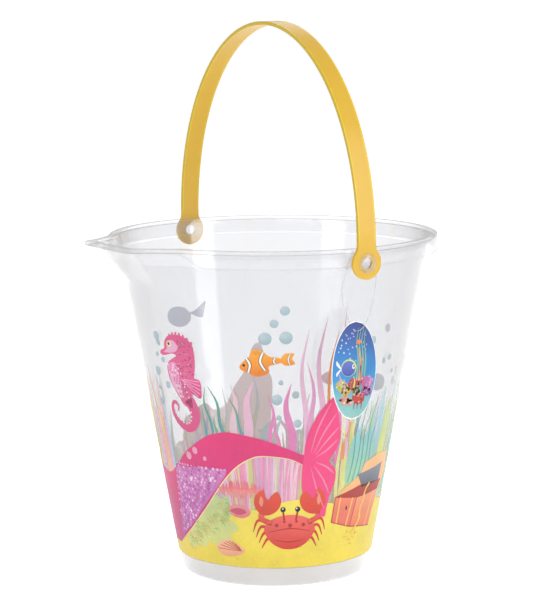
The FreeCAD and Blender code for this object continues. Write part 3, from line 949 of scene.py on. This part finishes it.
def draw_chest(art):
    """A plain treasure chest, open, with a chain and coins."""
    wood = tone(236, 132, 104)
    gold = tone(243, 200, 92)
    line = tone(176, 66, 56)
    art.sharp(5, [(34, 60), (47.5, 70), (50, 77), (60, 80.5), (72, 80), (76, 66), (70, 58), (47, 55)],
              tone(240, 178, 120), tone(244, 190, 130))
    art.sharp(6, [(45.6, 70), (67.5, 73.4), (66.4, 62), (50, 60.8)], tone(92, 94, 108),
              tone(132, 136, 148))
    art.sharp(6, [(32.4, 57.6), (48, 62.6), (70, 62), (67, 56), (47, 54.6)], tone(170, 56, 50))
    art.sharp(7, [(32.4, 57.4), (47, 54.8), (44.2, 36), (31.2, 41)], tone(224, 106, 96), wood)
    art.sharp(7, [(47, 54.8), (67.4, 56.4), (62.6, 33), (44.2, 36)], tone(232, 120, 84),
              tone(242, 156, 116))
    for points in (((32.4, 57.4), (47, 54.8)), ((47, 54.8), (67.4, 56.4)), ((31.2, 41), (44.2, 36)),
                   ((44.2, 36), (62.6, 33)), ((47, 54.8), (44.2, 36)), ((32.4, 57.4), (31.2, 41))):
        art.add(8, band(points, [0.7, 0.7], steps=4), line)
    for points in (((35.6, 56.8), (34.4, 39.8)), ((44, 55.2), (41.2, 37.2)), ((62, 56), (58, 33.8))):
        art.add(8, band(points, [1.1, 1.1], steps=4), gold)
    art.add(8, oval(40.2, 49, 0.9, 1.4), tone(84, 50, 46))
    rng = random.Random(2)
    chain = smooth(flat([(56, 62), (53.4, 58), (52.6, 52), (51, 46), (51.4, 40), (49, 35), (46.4, 31)]),
                   closed=False, steps=5)
    for x, height in chain:
        art.add(9, oval(x / DEGREE, height, 1.15, 0.8, rng.uniform(0, 90), points=10), gold)
    for turn, height in ((42, 30), (45, 27.6), (48.6, 28.4), (50.6, 31), (46.6, 24.8), (43.6, 33)):
        art.add(8, oval(turn, height, 1.7, 0.9, points=14), tone(222, 168, 50))
        art.add(9, oval(turn, height + 0.3, 1.25, 0.6, points=12), tone(250, 222, 120))


def draw_far_side(art):
    """What lies round the back: a grey-blue fish, pale corals, and a yellow weed."""
    blue = tone(96, 138, 186)
    art.add(4, oval(-134, 153.8, 10.5, 6.8, 8), blue, tone(122, 164, 206))
    art.blob(4, [(-140.4, 155.4), (-144, 157), (-149, 162), (-148, 156), (-146.6, 151.4),
                 (-142.4, 153.6)], blue)
    art.add(5, oval(-129.6, 155.4, 1.5), tone(250, 250, 250))
    art.add(6, oval(-129.3, 155.4, 0.8), tone(30, 34, 48))
    for turn in (-132.6, -135.6, -138.4):
        art.add(5, band([(turn, 159.6), (turn + 0.9, 154), (turn, 148.4)], [0.4, 1.4, 0.4]),
                tone(222, 226, 120))
    for shift, shade in ((0, tone(244, 196, 70)), (5, tone(240, 168, 84)), (-5, tone(246, 214, 110))):
        strand(art, 2, (-103 + shift, 72), (-109 + shift, 126 - abs(shift)), 5.0, 1.4, shade)
    coral = [(-126, 52), (-127, 84), (-134, 90), (-143, 95), (-148, 90), (-155, 93), (-160, 104),
             (-166, 115), (-170, 130), (-174, 131), (-176, 116), (-179, 106), (-178, 80), (-176, 52)]
    art.blob(4, coral, tone(238, 188, 160), tone(240, 196, 196))
    rng = random.Random(41)
    for _ in range(60):
        turn = rng.uniform(-174, -130)
        art.add(5, oval(turn, rng.uniform(56, 84), rng.uniform(0.6, 1.5), points=8),
                tone(226, 150, 110))
    for centre, height, size, shade in ((96, 132, 8, tone(250, 200, 70)),
                                        (122, 112, 9, tone(120, 180, 210)),
                                        (152, 110, 7, tone(240, 130, 150))):
        art.add(4, oval(centre, height, size, size * 0.62, -6), shade)
        art.blob(4, [(centre + size * 0.55, height - 0.4),
                     (centre + size * 0.95, height + size * 0.6),
                     (centre + size * 0.86, height - 0.4),
                     (centre + size * 0.95, height - size * 0.62)], shade)
        art.add(5, oval(centre - size * 0.32, height + 1, 1.3), tone(252, 252, 250))
        art.add(6, oval(centre - size * 0.34, height + 1, 0.7, points=10), tone(36, 34, 40))
        for stripe in (-0.08, 0.12):
            art.add(5, band([(centre + size * stripe, height + size * 0.5),
                             (centre + size * stripe, height - size * 0.5)], [0.5, 1.3, 0.5]),
                    tone(252, 246, 236))


def make_print(front, back):
    art = Drawing()
    for draw in (draw_streaks, draw_weeds, draw_bubbles, draw_sand, draw_sweep, draw_tail,
                 draw_seahorse, draw_banded_fish, draw_sea_bed, draw_crab, draw_chest, draw_far_side):
        draw(art)
    names = ["print_washes", "print_weeds", "print_leaves", "print_sand", "print_bodies",
             "print_features", "print_details", "print_marks", "print_lines", "print_gold"]
    for layer, name in enumerate(names):
        sheet = art.sheet(layer, name)
        inner = [face.index for face in sheet.data.polygons if face.normal.z < -0.5]
        wrap(sheet, layer)
        settle(sheet, name, "bucket", [front, back], "printed_film", smooth=0)
        for index in inner:
            sheet.data.polygons[index].material_index = 1


# ---- handle ----
EYE_RADIUS = 10.0
EYE_HOLE = 3.6
STRAP_HALF = 6.25
STRAP_THICKNESS = 2.2
PAINTED_EDGES_START = 222            # height above which the strap's edges carry a painted highlight and its sides painted shade
EDGE_HIGHLIGHT_START = 5.3              # from the strap's middle to the painted highlight along its edge
SIDE_SHADE_START = 6.1             # from the strap's middle to the painted shade on its side
EYE_BLEND = 8.0              # radius of the hollow between an eye and the strap
LEG = 12.0
BOW = 129.3


def bow_line():
    """Points of the strap's middle line from one eye to the other, and the length up to each."""
    spring = STUD_HEIGHT + LEG
    points = [(-SPAN, STUD_HEIGHT), (-SPAN, spring)]
    for step in range(1, 720):
        angle = math.pi * (1 - step / 720)
        points.append((SPAN * math.cos(angle), spring + BOW * math.sin(angle)))
    points += [(SPAN, spring), (SPAN, STUD_HEIGHT)]
    lengths = [0.0]
    for start, end in zip(points, points[1:]):
        lengths.append(lengths[-1] + math.dist(start, end))
    return points, lengths


def strap_outline(length):
    """The strap laid flat: a band between two round eyes, with a hollow where they meet."""
    offset = math.sqrt((EYE_RADIUS + EYE_BLEND) ** 2 - (STRAP_HALF + EYE_BLEND) ** 2)
    open_angle = math.degrees(math.atan2(STRAP_HALF + EYE_BLEND, offset))
    quarter = []
    for step in range(25):
        angle = math.radians(between(180, open_angle, step / 24))
        quarter.append((EYE_RADIUS * math.cos(angle), EYE_RADIUS * math.sin(angle)))
    for step in range(1, 9):
        angle = math.radians(between(180 + open_angle, 270, step / 8))
        quarter.append((offset + EYE_BLEND * math.cos(angle),
                        STRAP_HALF + EYE_BLEND + EYE_BLEND * math.sin(angle)))
    side = quarter + [(length - along, across) for along, across in reversed(quarter)]
    return side + [(along, -across) for along, across in reversed(side[1:-1])]


def plate(name, outline, holes, thickness, cuts):
    """A flat plate with holes, cut across at the given places, in millimetres."""
    sheet = fill([outline] + holes, cuts)
    bmesh.ops.dissolve_limit(sheet, angle_limit=0.001, verts=[], edges=[
        edge for edge in sheet.edges
        if abs(edge.verts[0].co.x - edge.verts[1].co.x) > 0.01 and len(edge.link_faces) == 2])
    mesh = bpy.data.meshes.new(name)
    sheet.to_mesh(mesh)
    sheet.free()
    piece = bpy.data.objects.new(name, mesh)
    bpy.context.collection.objects.link(piece)
    modify(piece, "SOLIDIFY", thickness=thickness, offset=0)
    return piece


def ring(along, across, radius, points=32):
    return [(along + radius * math.cos(2 * math.pi * step / points),
             across + radius * math.sin(2 * math.pi * step / points)) for step in range(points)]


def bend(piece):
    """Takes the flat strap up one leg, over the bow and down the other leg."""
    points, lengths = bow_line()
    total = lengths[-1]
    for point in piece.data.vertices:
        along, across, out = point.co
        held = min(max(along, 0.0), total)
        low = min(bisect.bisect_right(lengths, held) - 1, len(lengths) - 2)
        high = low + 1
        run = lengths[high] - lengths[low]
        start, end = points[low], points[high]
        toward = ((end[0] - start[0]) / run, (end[1] - start[1]) / run)
        past = along - lengths[low]
        y = start[0] + toward[0] * past - toward[1] * out
        z = start[1] + toward[1] * past + toward[0] * out
        point.co = (across * MM, y * MM, z * MM)


def make_handle(material):
    _, lengths = bow_line()
    length = lengths[-1]
    holes = [ring(0, 0, EYE_HOLE), ring(length, 0, EYE_HOLE)]
    cuts = [12 + 2.5 * step for step in range(int((length - 24) / 2.5) + 1)]
    handle = plate("handle", strap_outline(length), holes, STRAP_THICKNESS, cuts)
    modify(handle, "BEVEL", width=0.45, segments=3, limit_method="ANGLE", angle_limit=math.radians(40))
    bend(handle)
    edit(handle)
    bpy.ops.mesh.normals_make_consistent(inside=False)
    leave()
    settle(handle, "strap_handle", "handle", [material], "handle")


# ---- swing tag and its loop ----
TAG_HALF_WIDTH = 16.0
TAG_HALF_LENGTH = 30.0
TAG_ART_HALF_WIDTH = 15.65
TAG_ART_HALF_LENGTH = 29.65
TAG_ART_DRAWN = 29.2         # half the length that the picture is drawn at
TAG_LEAN = 3.0
TAG_HOLE = (-5.6, -104.35, 168.2)
TAG_HOLE_INSET = 5.2
TAG_THICKNESS = 0.5
LOOP_PLANE = 105.55
THREAD = 0.5
LOOP_ROUTE = [(-12.4, 0.0, -1.9), (-11.4, 0.0, 1.4), (-8.2, 0.0, 4.0), (-3.6, 0.0, 4.2),
              (2.4, 0.0, 4.2), (6.6, 0.0, 1.4), (8.6, -0.1, -4.6), (8.8, -0.4, -13.6),
              (6.6, -0.6, -24.6), (2.8, -0.4, -35.6), (-2.4, -0.2, -41.2), (-6.0, -1.3, -41.3),
              (-8.4, -2.3, -37.9), (-11.4, -1.9, -31.6), (-15.0, -1.0, -23.2),
              (-16.0, -0.5, -14.0), (-13.6, -0.1, -7.2), (-12.6, 0.0, -3.4)]


def hang(piece, out):
    """Stands a flat piece, drawn about the card's middle, up at the card's place."""
    lean = math.radians(TAG_LEAN)
    for point in piece.data.vertices:
        across, up, depth = point.co
        up = up - TAG_HALF_LENGTH + TAG_HOLE_INSET
        point.co = ((TAG_HOLE[0] + across * math.cos(lean) + up * math.sin(lean)) * MM,
                    (TAG_HOLE[1] - out - depth) * MM,
                    (TAG_HOLE[2] - across * math.sin(lean) + up * math.cos(lean)) * MM)


def tag_drawing():
    """A small generic reef, drawn in millimetres about the middle of the card."""
    art = Drawing()

    def dot(layer, x, y, wide, tall, shade, lean=0.0, high=None):
        art.add(layer, oval(x / DEGREE, y, wide, tall, lean, points=16), shade, high)

    def line(layer, points, widths, shade):
        art.add(layer, band([(x / DEGREE, y) for x, y in points], widths), shade)

    steps = [(-TAG_ART_DRAWN, tone(150, 200, 190)), (-17, tone(120, 190, 196)),
             (-6, tone(46, 150, 214)), (8, tone(44, 128, 200)), (20, tone(58, 92, 168)),
             (TAG_ART_DRAWN, tone(44, 66, 140))]
    for (low, low_shade), (high, high_shade) in zip(steps, steps[1:]):
        edge = []
        for step in range(9):
            y = between(low, high, step / 8) * TAG_ART_HALF_LENGTH / TAG_ART_DRAWN
            across = math.sqrt(max(0.0, 1 - (y / TAG_ART_HALF_LENGTH) ** 2))
            edge.append((TAG_ART_HALF_WIDTH * across, y))
        art.add(0, edge + [(-x, y) for x, y in reversed(edge)], low_shade, high_shade)
    rng = random.Random(3)
    for _ in range(46):
        y = rng.uniform(-6, 26)
        reach = 13 * math.sqrt(1 - (y / 30) ** 2)
        dot(1, rng.uniform(-reach, reach * 0.8), y, rng.uniform(0.2, 0.6), rng.uniform(0.25, 0.8),
            tone(214, 234, 246, 0.85))
    for x in (1.6, 3.4, 5.2, 7):
        line(1, [(x, -8), (x + 1, 6), (x - 0.6, 18), (x + 0.6, 26)], [1.2, 0.9, 0.6, 0.2],
             tone(150, 205, 150, 0.8))
    line(2, [(3.4, -8), (4.2, 4), (2.6, 14)], [1.3, 1, 0.5], tone(224, 176, 96))
    line(2, [(5.2, -8), (4.6, 2), (6, 10)], [1, 0.8, 0.4], tone(226, 120, 104))
    dot(3, 2.6, 17.4, 2.0, 1.3, tone(240, 140, 80), 12)
    dot(3, -4, 1.6, 5.6, 5.4, tone(206, 222, 110), 0)
    dot(4, -4.2, 1.2, 5.0, 4.8, tone(72, 84, 172), 0, tone(96, 116, 200))
    dot(5, -0.6, 2.4, 1.0, 1.5, tone(246, 246, 250))
    dot(6, -0.4, 2.6, 0.5, 0.8, tone(20, 20, 30))
    line(4, [(-9.4, 1), (-12.2, 4), (-12.8, 6)], [0.8, 1.8, 0.4], tone(236, 240, 246))
    line(4, [(-9.4, 1), (-12, -1.6), (-12.4, -3.4)], [0.8, 1.6, 0.4], tone(236, 240, 246))
    corals = [(-9, -9, 4, tone(206, 214, 100)), (-5.4, -12.4, 3.4, tone(226, 190, 92)),
              (0.4, -8.4, 4.6, tone(208, 72, 74)), (3.6, -17, 4.6, tone(214, 66, 60)),
              (9.6, -7.6, 4.6, tone(206, 120, 190)), (9.4, -13, 3.8, tone(170, 90, 170)),
              (-6, -18.4, 3.4, tone(236, 168, 140)), (2, -12.6, 2.8, tone(120, 150, 84)),
              (-2.4, -19, 2.8, tone(238, 190, 170))]
    for x, y, size, shade in corals:
        dot(2, x, y, size, size * 0.85, blended(shade, tone(60, 40, 60), 0.25))
        for _ in range(16):
            angle = rng.uniform(0, 2 * math.pi)
            reach = size * math.sqrt(rng.random())
            tint = blended(shade, rng.choice((tone(255, 240, 220), tone(120, 40, 60))),
                           rng.uniform(0, 0.5))
            dot(3, x + reach * math.cos(angle), y + 0.85 * reach * math.sin(angle),
                rng.uniform(0.4, 1.1), rng.uniform(0.4, 1.0), tint)
    for x, top in ((-10.4, -2), (-7, -5), (6.8, -4), (11.4, -3), (0, -3.6)):
        line(4, [(x, top - 7), (x + 0.6, top - 3), (x - 0.3, top)], [1.1, 0.9, 0.3],
             rng.choice((tone(224, 226, 110), tone(224, 90, 84), tone(214, 150, 206))))
    for x in (1, 3.4, 6.2):
        line(4, [(x, -20), (x - 0.4, -24)], [0.9, 0.2], tone(150, 44, 50))
    return art


def make_tag(board, ink, back):
    edge = [(TAG_HALF_WIDTH * math.cos(2 * math.pi * step / 96),
             TAG_HALF_LENGTH * math.sin(2 * math.pi * step / 96)) for step in range(96)]
    hole = ring(0, TAG_HALF_LENGTH - TAG_HOLE_INSET, 1.9, 28)
    card = plate("swing_tag", edge, [hole], TAG_THICKNESS, [])
    modify(card, "BEVEL", width=0.08, segments=1, limit_method="ANGLE", angle_limit=math.radians(40))
    hang(card, 0)
    card.data.materials.append(board)
    art = tag_drawing()
    sheets = []
    for layer in sorted(art.layers):
        sheet = art.sheet(layer, "tag_art")
        hang(sheet, TAG_THICKNESS / 2 + 0.04 + 0.012 * layer)
        sheet.data.materials.append(ink)
        sheet.data.materials.append(back)
        sheets.append(sheet)
    only(card)
    for sheet in sheets:
        sheet.select_set(True)
    bpy.ops.object.join()
    edit(card)
    bpy.ops.mesh.normals_make_consistent(inside=False)
    leave()
    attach(card, "tag")
    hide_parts("hang_tag")
    return card


def make_loop(material):
    line = bpy.data.curves.new("nylon_loop", "CURVE")
    line.dimensions = "3D"
    spline = line.splines.new("NURBS")
    points = [(x * MM, -(LOOP_PLANE + out) * MM, (STUD_HEIGHT + up) * MM) for x, out, up in LOOP_ROUTE]
    spline.points.add(len(points) - 1)
    for place, (x, y, z) in zip(spline.points, points):
        place.co = (x, y, z, 1)
    spline.order_u = 3
    spline.use_endpoint_u = True
    line.resolution_u = 8
    line.bevel_depth = THREAD / 2 * MM
    line.bevel_resolution = 3
    line.use_fill_caps = True
    line.materials.append(material)
    loop = bpy.data.objects.new("nylon_loop", line)
    bpy.context.collection.objects.link(loop)
    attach(loop, "loop")
    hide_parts("tag_loop")
    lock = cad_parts["tag_lock"]
    lock.data.materials.clear()
    lock.data.materials.append(material)


# ---- the studio ----
VIEW_AZIMUTH = -31.5


def around(turn, distance, height):
    """A place in metres, turned from the camera's side towards its right."""
    angle = math.radians(VIEW_AZIMUTH + turn)
    return Vector((distance * math.sin(angle), -distance * math.cos(angle), height))


def aim(piece, target):
    piece.rotation_euler = (target - piece.location).to_track_quat("-Z", "Y").to_euler()


def make_camera():
    view = bpy.data.cameras.new("camera")
    view.lens = 145.74
    view.sensor_width = 36
    view.clip_end = 200
    camera = bpy.data.objects.new("camera", view)
    bpy.context.collection.objects.link(camera)
    camera.location = Vector((-0.8099, -1.3289, 0.398))
    aim(camera, Vector((0.0033, -0.0020, 0.17143)))
    camera.rotation_euler.rotate_axis("Z", math.radians(-0.41))
    bpy.context.scene.camera = camera


def softbox(name, place, size, power):
    light = bpy.data.lights.new(name, "AREA")
    light.shape = "RECTANGLE"
    light.size, light.size_y = size
    light.energy = power
    lamp = bpy.data.objects.new(name, light)
    bpy.context.collection.objects.link(lamp)
    lamp.location = place
    aim(lamp, Vector((0, 0, 0.14)))


def make_studio():
    softbox("left_softbox", around(-50, 1.7, 0.75), (0.6, 1.5), 5)
    softbox("right_softbox", around(60, 1.7, 0.8), (0.62, 1.5), 12)
    softbox("front_softbox", around(-18, 2.2, 1.5), (1.2, 0.9), 5)
    softbox("overhead_softbox", around(10, 0.5, 1.9), (1.2, 1.2), 9)
    softbox("back_softbox", around(165, 2.2, 1.4), (1.6, 1.2), 6)
    world = bpy.data.worlds.new("studio")
    bpy.context.scene.world = world
    world.use_nodes = True
    nodes = world.node_tree.nodes
    links = world.node_tree.links
    nodes.clear()
    path = nodes.new("ShaderNodeLightPath")
    seen = nodes.new("ShaderNodeBackground")
    seen.inputs[1].default_value = 1.0
    lit = nodes.new("ShaderNodeBackground")
    lit.inputs[0].default_value = (0.93, 0.94, 0.96, 1)
    lit.inputs[1].default_value = 0.5
    mix = nodes.new("ShaderNodeMixShader")
    output = nodes.new("ShaderNodeOutputWorld")
    links.new(path.outputs["Is Camera Ray"], mix.inputs[0])
    links.new(lit.outputs[0], mix.inputs[1])
    links.new(seen.outputs[0], mix.inputs[2])
    links.new(mix.outputs[0], output.inputs[0])
    bpy.ops.object.select_all(action="DESELECT")
    bpy.ops.mesh.primitive_circle_add(vertices=96, radius=60, fill_type="NGON",
                                      location=(0, 0, -0.0004))
    ground = bpy.context.object
    ground.name = "floor"
    paint = Paint("floor")
    look = paint.surface(Base_Color=(0.86, 0.86, 0.86, 1), Roughness=0.9,
                         Emission_Color=(1, 1, 1, 1), Emission_Strength=0.6)
    ground.data.materials.append(paint.finish(look))
    bpy.context.scene.view_settings.view_transform = "Standard"
    bpy.context.scene.cycles.transparent_max_bounces = 48


make_camera()
thread = nylon()
ink_front = printing_ink("print_ink", 0.0)
# the backing glows as painted light, standing for light shining through the print
ink_back_glowing = printing_ink("print_backing_glow", 0.5)
swing_tag = make_tag(tag_board(), ink_front, ink_back_glowing)
make_loop(thread)
make_pail(clear_plastic())
make_handle(yellow_plastic())
make_print(ink_front, ink_back_glowing)
make_studio()
